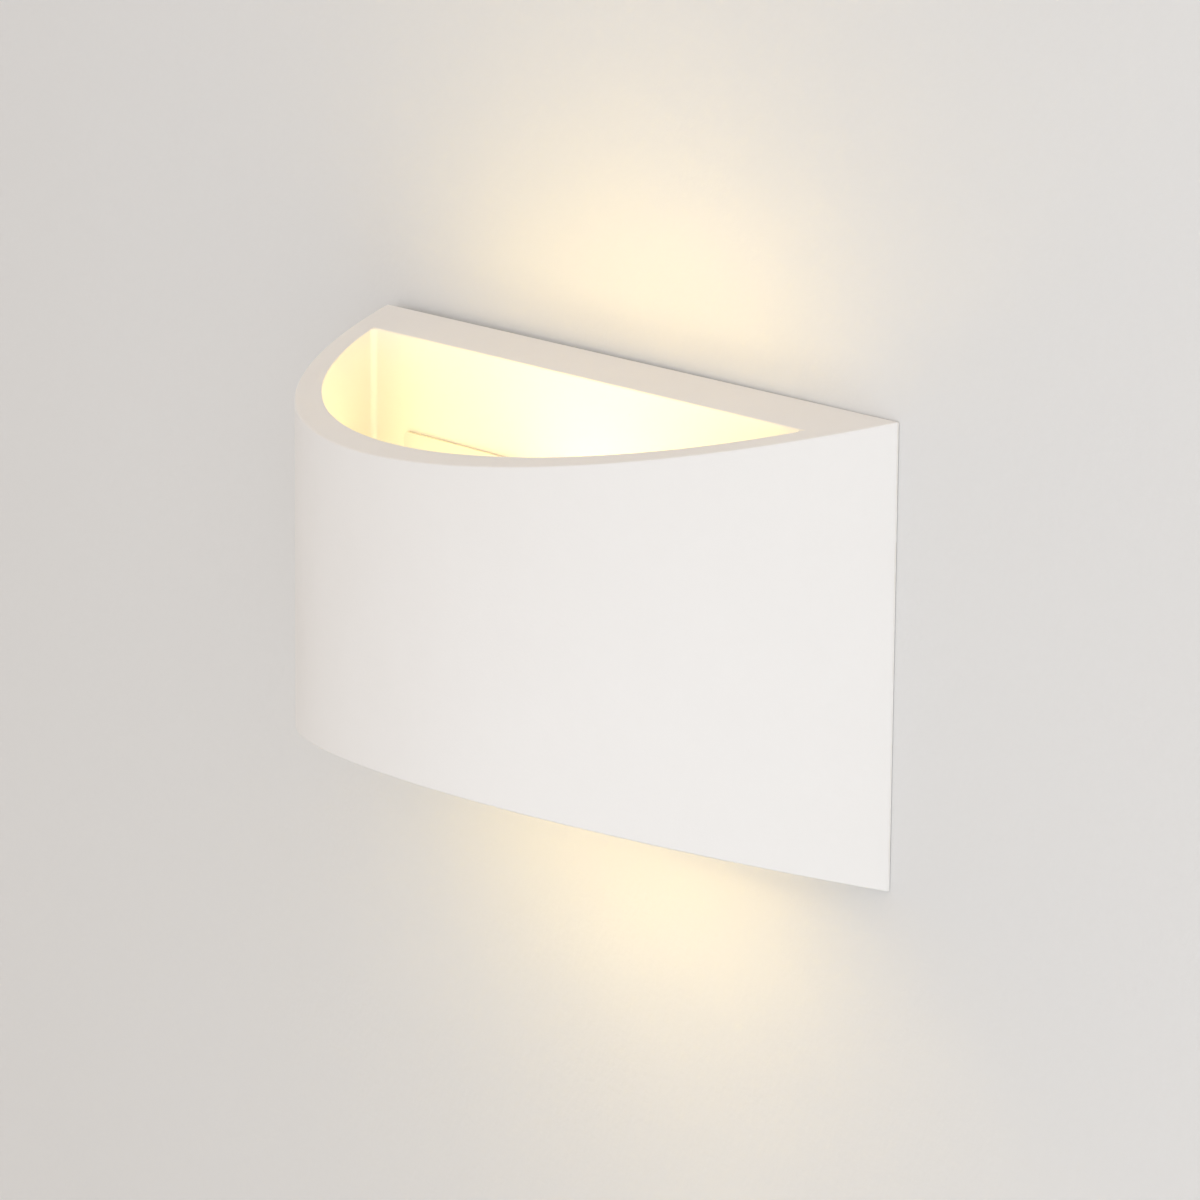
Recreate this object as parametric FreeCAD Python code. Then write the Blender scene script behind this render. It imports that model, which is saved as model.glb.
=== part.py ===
import FreeCAD, Part
import math
import os

Vector = FreeCAD.Vector

# Up and down wall light: a cast plaster shell, D-shaped seen from above, open at both
# ends, screwed to the wall over a steel bracket.  Millimetres and degrees.
# The wall is the plane y = 0 and the light stands out of it toward -Y, +X is to the
# right of someone facing it and +Z is up.  The origin is the middle of the back.

# Plaster shell
body_width = 220.0
body_height = 107.0           # against the wall
body_depth = 73.5
outer_curve_reach = 147.5     # half axis of the outer ellipse, square to the wall
end_slope = 12.5              # the top falls and the bottom rises toward the front
well_shoulder = 16.5          # edge of the shell to the corner of the well, seen from the front
back_wall = 14.0
front_wall = 7.5
well_corner = 1.2

# Window through the back wall
window_width = 132.0
window_height = 36.0
window_corner = 4.0

# Steel bracket on the wall
bracket_width = 126.0
bracket_height = 30.0
bracket_thickness = 1.5
bracket_corner = 3.0
wall_slot_spacing = 86.0
wall_slot_length = 12.0
wall_slot_width = 4.5

# Studs, washers and cap nuts that clamp the shell
stud_spacing = 114.0
stud_radius = 2.0
stud_head_radius = 2.8
stud_hole_clearance = 0.3
washer_radius = 4.5
washer_thickness = 0.8
nut_across_flats = 7.0
nut_hex_height = 3.2
nut_dome_height = 3.6
nut_dome_radius = 3.2
nut_dome_rounding = 2.5
nut_thread_depth = 5.5
nut_bore_spare = 0.5
thread_clearance = 0.05

# White cover plate inside the shell
plate_width = 154.0
plate_height = 53.0
plate_thickness = 1.0
plate_corner = 2.0

# Cable bush in the bracket
cable_entry_x = 27.0
cable_bore_radius = 3.5
cable_bush_neck_radius = 5.0
cable_bush_flange_radius = 7.0
cable_bush_flange_thickness = 1.5

# Three-pole terminal block, its poles one above the other
block_x = 4.0
block_length = 17.0
block_height = 28.0
block_depth = 11.5
pole_pitch = 9.3
pole_groove = 2.2
pole_groove_depth = 4.0
sleeve_axis_lift = 5.5        # above the bracket
sleeve_length = 15.0
sleeve_radius = 2.3
sleeve_bore_radius = 1.5
terminal_screw_offset = 3.6   # from the middle of the block
terminal_screw_radius = 1.25
terminal_head_radius = 1.7
terminal_head_height = 1.8
terminal_head_recess = 1.4
terminal_well_clearance = 0.1
driver_slot_width = 0.6
driver_slot_depth = 0.7
fixing_screw_radius = 1.45
fixing_head_radius = 2.5
fixing_head_height = 2.0
fixing_clearance = 0.15

# Earth point on the bracket
earth_x = -30.0
earth_screw_radius = 2.0
earth_head_radius = 3.5
earth_head_height = 2.0
earth_washer_radius = 4.0
earth_washer_thickness = 0.8
earth_ring_thickness = 0.8
earth_neck_width = 3.2
earth_barrel_length = 5.0
earth_barrel_wall = 0.5
earth_barrel_reach = 6.5      # ring centre to the end of the barrel
earth_barrel_gap = 0.3        # barrel to bracket

# Lampholder, on the left, with its face toward +X
lamp_axis_depth = 38.0        # wall to the lamp's axis
holder_face_x = -19.0
holder_body_length = 13.5
holder_cap_length = 4.5
holder_height = 24.0
holder_thickness = 14.0
holder_corner = 3.0
holder_front_web = 3.0
holder_screw_spacing = 17.2
holder_screw_radius = 1.5
holder_screw_clearance = 0.1
holder_head_radius = 2.6
holder_head_height = 1.8
holder_head_recess = 2.2
pin_pitch = 9.0
pin_slot_clearance = 0.3
contact_thickness = 0.4
contact_width = 3.2
contact_gap = 0.05
contact_pocket_clearance = 0.4

# L-shaped steel carrier of the lampholder
carrier_thickness = 1.2
carrier_width = 26.0
carrier_foot = 25.0
carrier_over_axis = 8.0
carrier_bend = 1.5            # inside radius
carrier_corner = 3.0
carrier_wire_hole_radius = 1.9
carrier_screw_tail = 1.0
rivet_x = -22.0
rivet_spacing = 14.0
rivet_radius = 1.6
rivet_head_radius = 3.2
rivet_head_height = 0.9
rivet_tail_radius = 2.3
rivet_tail_height = 1.4

# Internal wires
wire_radius = 1.1
wire_bush_clearance = 0.05
wire_bend_at_holder = 8.0
wire_bend_behind_plate = 6.6
wire_join_bend = 20.0
wire_join_start = 10.0        # from the block's end to the sideways bend
wire_join_run = 14.0
wire_exit_run = 1.0
earth_bend = 6.6
earth_bend_start = 5.0
earth_bend_run = 6.0
wire_bush_neck_radius = 3.0
wire_bush_flange_radius = 4.0
wire_bush_flange_thickness = 0.8
ferrule_pin_radius = 0.95
ferrule_pin_length = 8.0
ferrule_collar_radius = 1.7
ferrule_collar_length = 3.0
ferrule_disc = 0.4

# Push-fit lamp
lamp_gap = 0.3                # base to lampholder face
lamp_neck_length = 7.0
lamp_neck_height = 15.0
lamp_neck_thickness = 9.5
lamp_neck_corner = 2.5
lamp_collar_length = 4.0
lamp_radius = 8.0
lamp_cover_wall = 1.0
lamp_cover_straight = 25.7
lamp_spigot_length = 2.0
lamp_board_length = 28.7
lamp_board_height = 11.0
lamp_board_thickness = 1.0
lamp_board_seat = 3.0
chip_rows = 2
chip_columns = 5
chip_length = 2.8
chip_height = 3.5
chip_thickness = 0.7
chip_pitch = 5.0
chip_row_pitch = 5.2
chip_first = 5.0              # from the collar to the first chip
pin_length = 9.5
pin_width = 3.0
pin_wire = 0.9
pin_root = 3.0

margin = 5.0                  # how far cutting tools run past what they cut
near = 0.01                   # how close two places are that count as one

# Places that follow from the sizes above
slope_rise = math.tan(math.radians(end_slope))
well_half_width = body_width / 2 - well_shoulder
plate_back_y = -back_wall
plate_front_y = plate_back_y - plate_thickness
bracket_front_y = -bracket_thickness
sleeve_y = bracket_front_y - sleeve_axis_lift
block_front_y = bracket_front_y - block_depth
lamp_y = -lamp_axis_depth
holder_rear_x = holder_face_x - holder_body_length - holder_cap_length
carrier_back_x = holder_rear_x - carrier_thickness
wire_x = carrier_back_x - wire_exit_run - wire_bend_at_holder
sleeve_left_x = block_x - sleeve_length / 2
block_left_x = block_x - block_length / 2
ferrule_step_x = block_left_x - ferrule_disc
wire_start_x = ferrule_step_x
contact_web_x = holder_face_x - holder_body_length + contact_pocket_clearance
lamp_base_x = holder_face_x + lamp_gap
lamp_collar_x = lamp_base_x + lamp_neck_length
lamp_cover_x = lamp_collar_x + lamp_collar_length


# Shared forms

def box(x0, x1, y0, y1, z0, z1):
    """Box between two corners."""
    return Part.makeBox(x1 - x0, y1 - y0, z1 - z0, Vector(x0, y0, z0))


def rod_y(radius, x, z, y0, y1):
    """Round bar square to the wall, from depth y0 out to y1."""
    return Part.makeCylinder(radius, abs(y1 - y0), Vector(x, max(y0, y1), z), Vector(0, -1, 0))


def rod_x(radius, y, z, x0, x1):
    """Round bar along X."""
    return Part.makeCylinder(radius, x1 - x0, Vector(x0, y, z), Vector(1, 0, 0))


def edges_along(shape, axis):
    """Straight edges that run along one axis."""
    found = []
    for edge in shape.Edges:
        step = edge.Vertexes[-1].Point - edge.Vertexes[0].Point
        if step.Length > 0 and abs(step.dot(axis)) > 0.999 * step.Length:
            found.append(edge)
    return found


def upright_edge(shape, x, y):
    """The straight edge along Z at one place in plan."""
    place = Vector(x, y, 0)
    return [edge for edge in edges_along(shape, Vector(0, 0, 1))
            if (edge.CenterOfMass - place).Length < near]


def sheet(width, height, corner, y0, y1):
    """Sheet parallel to the wall and centred on it, with rounded corners."""
    blank = box(-width / 2, width / 2, min(y0, y1), max(y0, y1), -height / 2, height / 2)
    return blank.makeFillet(corner, edges_along(blank, Vector(0, 1, 0)))


def slot_y(length, width, x, z, y0, y1):
    """Round-ended slot along X, cut square to the wall."""
    reach = (length - width) / 2
    middle = box(x - reach, x + reach, min(y0, y1), max(y0, y1), z - width / 2, z + width / 2)
    ends = [rod_y(width / 2, x + side * reach, z, y0, y1) for side in (-1, 1)]
    return middle.fuse(ends).removeSplitter()


def tube_y(outer, bore, x, z, y0, y1):
    """Washer or bush square to the wall."""
    return rod_y(outer, x, z, y0, y1).cut(rod_y(bore, x, z, y0 + margin, y1 - margin))


def mirrored(offset):
    """The two sides of a symmetrical pair."""
    return (-offset, offset)


# Plaster shell

def outer_plan():
    """Closed plan of the shell: a flat back and an elliptical front."""
    centre_y = outer_curve_reach - body_depth
    depth_share = centre_y / outer_curve_reach
    half_axis = body_width / 2 / math.sqrt(1 - depth_share ** 2)
    nose = Vector(0, -body_depth, 0)
    side = Vector(half_axis, centre_y, 0)
    curve = Part.Ellipse(nose, side, Vector(0, centre_y, 0))
    reach = math.acos(depth_share)
    front = Part.ArcOfEllipse(curve, -reach, reach).toShape()
    back = Part.makeLine(front.Vertexes[1].Point, front.Vertexes[0].Point)
    return Part.Face(Part.Wire([front, back]))


def well():
    """The open well: one circular arc in front, a flat back and rounded corners."""
    left = Vector(-well_half_width, -back_wall, 0)
    nose = Vector(0, -(body_depth - front_wall), 0)
    right = Vector(well_half_width, -back_wall, 0)
    front = Part.Arc(left, nose, right).toShape()
    back = Part.makeLine(right, left)
    plan = Part.Face(Part.Wire([front, back]))
    plan.translate(Vector(0, 0, -body_height))
    column = plan.extrude(Vector(0, 0, 2 * body_height))
    return column.makeFillet(well_corner, edges_along(column, Vector(0, 0, 1)))


def side_profile():
    """Seen from the side the shell is a wedge cut back at the top and the bottom."""
    reach = body_depth + margin
    half_back = body_height / 2
    half_front = half_back - reach * slope_rise
    corners = [
        Vector(0, 0, half_back),
        Vector(0, -reach, half_front),
        Vector(0, -reach, -half_front),
        Vector(0, 0, -half_back),
    ]
    face = Part.Face(Part.makePolygon(corners + corners[:1]))
    face.translate(Vector(-body_width, 0, 0))
    return face.extrude(Vector(2 * body_width, 0, 0))


def plaster_body():
    column = outer_plan()
    column.translate(Vector(0, 0, -body_height))
    shell = column.extrude(Vector(0, 0, 2 * body_height))
    shell = shell.common(side_profile()).cut(well())
    return shell.cut(sheet(window_width, window_height, window_corner, margin, -back_wall - 1))


# Wall bracket and what clamps the shell to it

def wall_bracket():
    plate = sheet(bracket_width, bracket_height, bracket_corner, 0, bracket_front_y)
    tools = []
    for side in (-1, 1):
        slot_x = side * wall_slot_spacing / 2
        tools.append(slot_y(wall_slot_length, wall_slot_width, slot_x, 0, margin, -margin))
        tools.append(rod_y(stud_head_radius, side * stud_spacing / 2, 0, margin, -margin))
        tools.append(rod_y(fixing_screw_radius, block_x, side * pole_pitch / 2, margin, -margin))
    tools.append(rod_y(cable_bush_neck_radius, cable_entry_x, 0, margin, -margin))
    tools.append(rod_y(earth_screw_radius, earth_x, 0, margin, -margin))
    return plate.cut(tools)


def bracket_studs():
    tip_y = plate_front_y - washer_thickness - nut_thread_depth
    studs = []
    for x in mirrored(stud_spacing / 2):
        head = rod_y(stud_head_radius, x, 0, 0, bracket_front_y)
        studs.append(head.fuse(rod_y(stud_radius, x, 0, bracket_front_y, tip_y)))
    return studs


def stud_washers():
    bore = stud_radius + stud_hole_clearance
    back_y = plate_front_y
    return [tube_y(washer_radius, bore, x, 0, back_y, back_y - washer_thickness)
            for x in mirrored(stud_spacing / 2)]


def cap_nut(x):
    """Hexagon with a dome, bored blind from the back."""
    back_y = plate_front_y - washer_thickness
    shoulder_y = back_y - nut_hex_height
    corner_radius = nut_across_flats / 2 / math.cos(math.radians(30))
    corners = []
    for step in range(7):
        angle = math.radians(60 * step)
        corners.append(Vector(x + corner_radius * math.cos(angle), back_y,
                              corner_radius * math.sin(angle)))
    hexagon = Part.Face(Part.makePolygon(corners)).extrude(Vector(0, -nut_hex_height, 0))
    dome = rod_y(nut_dome_radius, x, 0, shoulder_y, shoulder_y - nut_dome_height)
    far_rim = [edge for edge in dome.Edges if edge.BoundBox.YMax < shoulder_y - near]
    dome = dome.makeFillet(nut_dome_rounding, far_rim)
    bore = rod_y(stud_radius + thread_clearance, x, 0, back_y + margin,
                 back_y - nut_thread_depth - nut_bore_spare)
    return hexagon.fuse(dome).cut(bore)


def cap_nuts():
    return [cap_nut(x) for x in mirrored(stud_spacing / 2)]


def cover_plate():
    plate = sheet(plate_width, plate_height, plate_corner, plate_back_y, plate_front_y)
    cut_from = plate_back_y + margin
    cut_to = plate_front_y - margin
    tools = []
    for side in (-1, 1):
        tools.append(rod_y(stud_radius + stud_hole_clearance, side * stud_spacing / 2, 0,
                           cut_from, cut_to))
        tools.append(rod_y(wire_bush_neck_radius, wire_x, side * pin_pitch / 2, cut_from, cut_to))
        tools.append(rod_y(rivet_radius, rivet_x, side * rivet_spacing / 2, cut_from, cut_to))
    return plate.cut(tools)


# Cable entry, terminal block and earth point

def cable_bush():
    flange_y = bracket_front_y - cable_bush_flange_thickness
    body = rod_y(cable_bush_neck_radius, cable_entry_x, 0, 0, bracket_front_y)
    body = body.fuse(rod_y(cable_bush_flange_radius, cable_entry_x, 0, bracket_front_y, flange_y))
    return body.cut(rod_y(cable_bore_radius, cable_entry_x, 0, margin, flange_y - margin))


def pole_heights():
    return [-pole_pitch, 0, pole_pitch]


def terminal_screw_places():
    return [(block_x + side * terminal_screw_offset, z) for side in (-1, 1) for z in pole_heights()]


def terminal_block():
    left = block_left_x
    right = block_left_x + block_length
    body = box(left, right, block_front_y, bracket_front_y, -block_height / 2, block_height / 2)
    tools = []
    for z in mirrored(pole_pitch / 2):
        tools.append(box(left - margin, right + margin, block_front_y - margin,
                         block_front_y + pole_groove_depth, z - pole_groove / 2, z + pole_groove / 2))
        tools.append(rod_y(fixing_head_radius + fixing_clearance, block_x, z,
                           block_front_y + pole_groove_depth, block_front_y - margin))
        tools.append(rod_y(fixing_screw_radius + fixing_clearance, block_x, z,
                           margin, block_front_y - margin))
    for z in pole_heights():
        tools.append(rod_x(sleeve_radius, sleeve_y, z, left - margin, right + margin))
    for x, z in terminal_screw_places():
        tools.append(rod_y(terminal_head_radius + terminal_well_clearance, x, z,
                           sleeve_y, block_front_y - margin))
    return body.cut(tools)


def terminal_sleeves():
    sleeves = []
    for z in pole_heights():
        right = sleeve_left_x + sleeve_length
        sleeve = rod_x(sleeve_radius, sleeve_y, z, sleeve_left_x, right)
        tools = [rod_x(sleeve_bore_radius, sleeve_y, z, sleeve_left_x - margin, right + margin)]
        for side in (-1, 1):
            tools.append(rod_y(terminal_screw_radius, block_x + side * terminal_screw_offset, z,
                               sleeve_y, sleeve_y - margin))
        sleeves.append(sleeve.cut(tools))
    return sleeves


def terminal_screws():
    """The left screws press on the ferrules, the right ones wait for the supply."""
    head_y = block_front_y + terminal_head_recess + terminal_head_height
    screws = []
    for x, z in terminal_screw_places():
        grips = x < block_x
        tip_y = sleeve_y - (ferrule_pin_radius if grips else sleeve_bore_radius)
        shank = rod_y(terminal_screw_radius, x, z, tip_y, head_y)
        head = rod_y(terminal_head_radius, x, z, head_y, head_y - terminal_head_height)
        slot = box(x - margin, x + margin, head_y - terminal_head_height - margin,
                   head_y - terminal_head_height + driver_slot_depth,
                   z - driver_slot_width / 2, z + driver_slot_width / 2)
        screws.append(shank.fuse(head).cut(slot))
    return screws


def terminal_fixing_screws():
    seat_y = block_front_y + pole_groove_depth
    screws = []
    for z in mirrored(pole_pitch / 2):
        shank = rod_y(fixing_screw_radius, block_x, z, 0, seat_y)
        head = rod_y(fixing_head_radius, block_x, z, seat_y, seat_y - fixing_head_height)
        slot = box(block_x - margin, block_x + margin, seat_y - fixing_head_height - margin,
                   seat_y - fixing_head_height + driver_slot_depth,
                   z - driver_slot_width / 2, z + driver_slot_width / 2)
        screws.append(shank.fuse(head).cut(slot))
    return screws


def wire_ferrules():
    """Crimped ends of the wires: a collar over the sheath and a pin in the sleeve."""
    ferrules = []
    for z in pole_heights():
        pin = rod_x(ferrule_pin_radius, sleeve_y, z, block_left_x, block_left_x + ferrule_pin_length)
        collar_x = ferrule_step_x - ferrule_collar_length
        collar = rod_x(ferrule_collar_radius, sleeve_y, z, collar_x, block_left_x)
        sheath = rod_x(wire_radius, sleeve_y, z, collar_x - margin, ferrule_step_x)
        ferrules.append(collar.fuse(pin).cut(sheath))
    return ferrules


def earth_washer():
    bore = earth_screw_radius + thread_clearance
    return tube_y(earth_washer_radius, bore, earth_x, 0, bracket_front_y,
                  bracket_front_y - earth_washer_thickness)


def earth_barrel_y():
    return bracket_front_y - earth_barrel_gap - earth_barrel_wall - wire_radius


def earth_ring():
    """Ring tongue under the screw, with a barrel crimped on the wire."""
    back_y = bracket_front_y - earth_washer_thickness
    front_y = back_y - earth_ring_thickness
    barrel_x = earth_x + earth_barrel_reach
    barrel_end_x = barrel_x + earth_barrel_length
    ring = rod_y(earth_washer_radius, earth_x, 0, back_y, front_y)
    neck = box(earth_x, barrel_x + 1, front_y, back_y, -earth_neck_width / 2, earth_neck_width / 2)
    barrel_y = earth_barrel_y()
    barrel = rod_x(wire_radius + earth_barrel_wall, barrel_y, 0, barrel_x, barrel_end_x)
    bore = rod_x(wire_radius, barrel_y, 0, barrel_x + 1, barrel_end_x + margin)
    hole = rod_y(earth_screw_radius + thread_clearance, earth_x, 0, margin, front_y - margin)
    return ring.fuse([neck, barrel]).cut([bore, hole]).removeSplitter()


def earth_screw():
    seat_y = bracket_front_y - earth_washer_thickness - earth_ring_thickness
    shank = rod_y(earth_screw_radius, earth_x, 0, 0, seat_y)
    head = rod_y(earth_head_radius, earth_x, 0, seat_y, seat_y - earth_head_height)
    slot = box(earth_x - margin, earth_x + margin, seat_y - earth_head_height - margin,
               seat_y - earth_head_height + driver_slot_depth,
               -driver_slot_width / 2, driver_slot_width / 2)
    return shank.fuse(head).cut(slot)


# Wires

def tube_on_route(points, radii):
    """Round tube along straight runs joined by tangent arcs, one radius a corner."""
    pieces = []
    start = points[0]
    length = 0.0
    for before, corner, after, radius in zip(points, points[1:], points[2:], radii):
        inward = (corner - before).normalize()
        outward = (after - corner).normalize()
        turn = inward.getAngle(outward)
        trim = radius * math.tan(turn / 2)
        enter = corner - inward * trim
        run = (enter - start).Length
        axis = inward.cross(outward).normalize()
        centre = enter + axis.cross(inward) * radius
        section = Part.Face(Part.Wire([Part.makeCircle(wire_radius, enter, inward)]))
        pieces.append(Part.makeCylinder(wire_radius, run, start, inward))
        pieces.append(section.revolve(centre, axis, math.degrees(turn)))
        length += run + radius * turn
        start = corner + outward * trim
    last = points[-1] - start
    pieces.append(Part.makeCylinder(wire_radius, last.Length, start, last))
    length += last.Length
    tube = pieces[0].fuse(pieces[1:])
    ideal = math.pi * wire_radius ** 2 * length
    print("wire length %.1f mm, radii %s mm, volume ratio %.4f" % (length, radii, tube.Volume / ideal))
    return tube


def lamp_wire(side):
    """From its pole, sideways to its bush, out through the plate and into the holder."""
    pole_z = side * pole_pitch
    pin_z = side * pin_pitch / 2
    join_x = block_left_x - wire_join_start
    points = [
        Vector(wire_start_x, sleeve_y, pole_z),
        Vector(join_x, sleeve_y, pole_z),
        Vector(join_x - wire_join_run, sleeve_y, pin_z),
        Vector(wire_x, sleeve_y, pin_z),
        Vector(wire_x, lamp_y, pin_z),
        Vector(contact_web_x - contact_thickness, lamp_y, pin_z),
    ]
    radii = [wire_join_bend, wire_join_bend, wire_bend_behind_plate, wire_bend_at_holder]
    return tube_on_route(points, radii)


def earth_wire():
    bend_x = block_left_x - earth_bend_start
    end_x = earth_x + earth_barrel_reach + 1
    points = [
        Vector(wire_start_x, sleeve_y, 0),
        Vector(bend_x, sleeve_y, 0),
        Vector(bend_x - earth_bend_run, earth_barrel_y(), 0),
        Vector(end_x, earth_barrel_y(), 0),
    ]
    return tube_on_route(points, [earth_bend, earth_bend])


def wire_bushes():
    flange = wire_bush_flange_thickness
    bushes = []
    for z in mirrored(pin_pitch / 2):
        neck = rod_y(wire_bush_neck_radius, wire_x, z, plate_back_y, plate_front_y)
        inner = rod_y(wire_bush_flange_radius, wire_x, z, plate_back_y + flange, plate_back_y)
        outer = rod_y(wire_bush_flange_radius, wire_x, z, plate_front_y, plate_front_y - flange)
        bore = rod_y(wire_radius + wire_bush_clearance, wire_x, z,
                     plate_back_y + margin, plate_front_y - margin)
        bushes.append(neck.fuse([inner, outer]).cut(bore))
    return bushes


# Lampholder and its carrier

def lampholder_carrier():
    """Strip bent to an L: the foot is riveted to the plate, the upright holds the holder."""
    top_y = lamp_y - carrier_over_axis
    foot_y = plate_front_y - carrier_thickness
    half = carrier_width / 2
    foot = box(carrier_back_x, carrier_back_x + carrier_foot, foot_y, plate_front_y, -half, half)
    upright = box(carrier_back_x, holder_rear_x, top_y, plate_front_y, -half, half)
    strip = foot.fuse(upright).removeSplitter()
    strip = strip.makeFillet(carrier_bend, upright_edge(strip, holder_rear_x, foot_y))
    outside_bend = carrier_bend + carrier_thickness
    strip = strip.makeFillet(outside_bend, upright_edge(strip, carrier_back_x, plate_front_y))
    free_corners = []
    for edge in edges_along(strip, Vector(1, 0, 0)):
        if edge.BoundBox.YMax < top_y + near:
            free_corners.append(edge)
    for edge in edges_along(strip, Vector(0, 1, 0)):
        if edge.BoundBox.XMin > carrier_back_x + carrier_foot - near:
            free_corners.append(edge)
    strip = strip.makeFillet(carrier_corner, free_corners)
    tools = []
    for side in (-1, 1):
        tools.append(rod_x(carrier_wire_hole_radius, lamp_y, side * pin_pitch / 2,
                           carrier_back_x - margin, holder_rear_x + margin))
        tools.append(rod_x(holder_screw_radius, lamp_y, side * holder_screw_spacing / 2,
                           carrier_back_x - margin, holder_rear_x + margin))
        tools.append(rod_y(rivet_radius, rivet_x, side * rivet_spacing / 2,
                           plate_front_y + 0.5, foot_y - margin))
    return strip.cut(tools)


def carrier_rivets():
    foot_y = plate_front_y - carrier_thickness
    rivets = []
    for z in mirrored(rivet_spacing / 2):
        shank = rod_y(rivet_radius, rivet_x, z, plate_back_y, foot_y)
        head = rod_y(rivet_head_radius, rivet_x, z, foot_y, foot_y - rivet_head_height)
        tail = rod_y(rivet_tail_radius, rivet_x, z, plate_back_y + rivet_tail_height, plate_back_y)
        rivets.append(shank.fuse([head, tail]))
    return rivets


def holder_block(x0, x1):
    """Ceramic block on the lamp's axis with rounded long edges."""
    half_y = holder_thickness / 2
    half_z = holder_height / 2
    block = box(x0, x1, lamp_y - half_y, lamp_y + half_y, -half_z, half_z)
    return block.makeFillet(holder_corner, edges_along(block, Vector(1, 0, 0)))


def contact_half_height():
    return pin_wire / 2 + contact_gap + contact_thickness


def lampholder_body():
    rear_x = holder_face_x - holder_body_length
    block = holder_block(rear_x, holder_face_x)
    slot_y_half = pin_width / 2 + pin_slot_clearance
    slot_z_half = pin_wire / 2 + pin_slot_clearance
    pocket_y_half = contact_width / 2 + contact_pocket_clearance
    pocket_z_half = contact_half_height() + contact_pocket_clearance
    tools = []
    for side in (-1, 1):
        z = side * pin_pitch / 2
        tools.append(box(rear_x, holder_face_x + margin, lamp_y - slot_y_half, lamp_y + slot_y_half,
                         z - slot_z_half, z + slot_z_half))
        tools.append(box(rear_x - margin, holder_face_x - holder_front_web,
                         lamp_y - pocket_y_half, lamp_y + pocket_y_half,
                         z - pocket_z_half, z + pocket_z_half))
        screw_z = side * holder_screw_spacing / 2
        tools.append(rod_x(holder_screw_radius + holder_screw_clearance, lamp_y, screw_z,
                           rear_x - margin, holder_face_x + margin))
        tools.append(rod_x(holder_head_radius + holder_screw_clearance, lamp_y, screw_z,
                           holder_face_x - holder_head_recess, holder_face_x + margin))
    return block.cut(tools)


def lampholder_cap():
    front_x = holder_face_x - holder_body_length
    block = holder_block(holder_rear_x, front_x)
    tools = []
    for side in (-1, 1):
        tools.append(rod_x(wire_radius + wire_bush_clearance, lamp_y, side * pin_pitch / 2,
                           holder_rear_x - margin, front_x + margin))
        tools.append(rod_x(holder_screw_radius + holder_screw_clearance, lamp_y,
                           side * holder_screw_spacing / 2, holder_rear_x - margin, front_x + margin))
    return block.cut(tools)


def lampholder_contacts():
    """Springy clips: two leaves joined by a web at the wire's end."""
    open_x = holder_face_x - holder_front_web - contact_pocket_clearance
    half = contact_half_height()
    contacts = []
    for z in mirrored(pin_pitch / 2):
        clip = box(contact_web_x - contact_thickness, open_x, lamp_y - contact_width / 2,
                   lamp_y + contact_width / 2, z - half, z + half)
        gap = box(contact_web_x, open_x + margin, lamp_y - contact_width, lamp_y + contact_width,
                  z - half + contact_thickness, z + half - contact_thickness)
        contacts.append(clip.cut(gap))
    return contacts


def lampholder_screws():
    seat_x = holder_face_x - holder_head_recess
    screws = []
    for z in mirrored(holder_screw_spacing / 2):
        shank = rod_x(holder_screw_radius, lamp_y, z, carrier_back_x - carrier_screw_tail, seat_x)
        head = rod_x(holder_head_radius, lamp_y, z, seat_x, seat_x + holder_head_height)
        slot = box(seat_x + holder_head_height - driver_slot_depth, holder_face_x,
                   lamp_y - driver_slot_width / 2, lamp_y + driver_slot_width / 2,
                   z - margin, z + margin)
        screws.append(shank.fuse(head).cut(slot))
    return screws


# Lamp

def pin_outline(tip_x, root_x, width, z):
    """Flat bar of one pin with a round tip."""
    half = width / 2
    bar = box(tip_x + half, root_x, lamp_y - half, lamp_y + half, z - pin_wire / 2, z + pin_wire / 2)
    tip = Part.makeCylinder(half, pin_wire, Vector(tip_x + half, lamp_y, z - pin_wire / 2))
    return bar.fuse(tip).removeSplitter()


def lamp_pins():
    """Each pin is a loop of wire whose legs run up into the base."""
    tip_x = lamp_base_x - pin_length
    root_x = lamp_base_x + pin_root
    pins = []
    for z in mirrored(pin_pitch / 2):
        outside = pin_outline(tip_x, root_x, pin_width, z)
        inside = pin_outline(tip_x + pin_wire, root_x + margin, pin_width - 2 * pin_wire, z)
        pins.append(outside.cut(inside))
    return pins


def board(length_from_x):
    half_y = lamp_board_thickness / 2
    half_z = lamp_board_height / 2
    return box(length_from_x, length_from_x + lamp_board_length, lamp_y - half_y, lamp_y + half_y,
               -half_z, half_z)


def lamp_board():
    return board(lamp_cover_x + lamp_spigot_length - lamp_board_seat)


def lamp_base():
    half_y = lamp_neck_thickness / 2
    half_z = lamp_neck_height / 2
    neck = box(lamp_base_x, lamp_collar_x, lamp_y - half_y, lamp_y + half_y, -half_z, half_z)
    neck = neck.makeFillet(lamp_neck_corner, edges_along(neck, Vector(1, 0, 0)))
    collar = rod_x(lamp_radius, lamp_y, 0, lamp_collar_x, lamp_cover_x)
    spigot = rod_x(lamp_radius - lamp_cover_wall, lamp_y, 0, lamp_cover_x,
                   lamp_cover_x + lamp_spigot_length)
    return neck.fuse([collar, spigot]).cut(lamp_pins() + [lamp_board()])


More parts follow.
